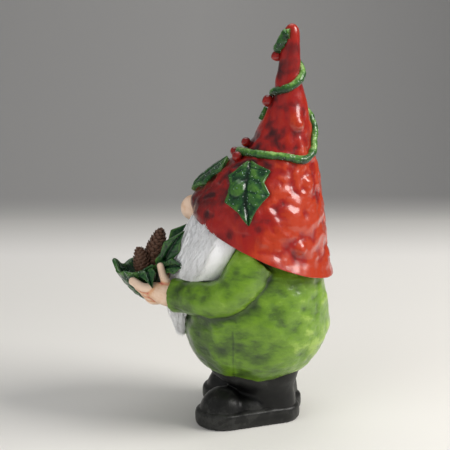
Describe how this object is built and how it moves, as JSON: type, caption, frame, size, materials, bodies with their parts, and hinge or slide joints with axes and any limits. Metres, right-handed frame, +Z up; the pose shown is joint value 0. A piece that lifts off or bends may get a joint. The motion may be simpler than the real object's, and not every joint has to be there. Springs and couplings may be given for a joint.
{
  "type": "garden gnome figurine",
  "caption": "Painted cast-resin santa gnome with a tall hat wound with a vine, a fur beard, and a holly-leaf dish of pine cones in its hands.",
  "frame": {"origin": "on the standing surface, on the middle plane between the boots, halfway along the soles, on the flat underside of the web that joins them", "axes": "-Y is the way the figure faces, +Z is up towards the hat's tip, +X is the figure's left hand"},
  "size_m": [0.1058, 0.1339, 0.239],
  "materials": {
    "painted_resin": "satin",
    "beard_fur": "matte",
    "hat_red": "gloss",
    "robe_green": "satin",
    "boot_black": "satin",
    "skin_peach": "satin",
    "leaf_green": "gloss",
    "berry_red": "gloss",
    "cone_brown": "satin"
  },
  "bodies": {
    "root": {"figure": "painted_resin", "beard": "beard_fur"}
  },
  "joints": []
}
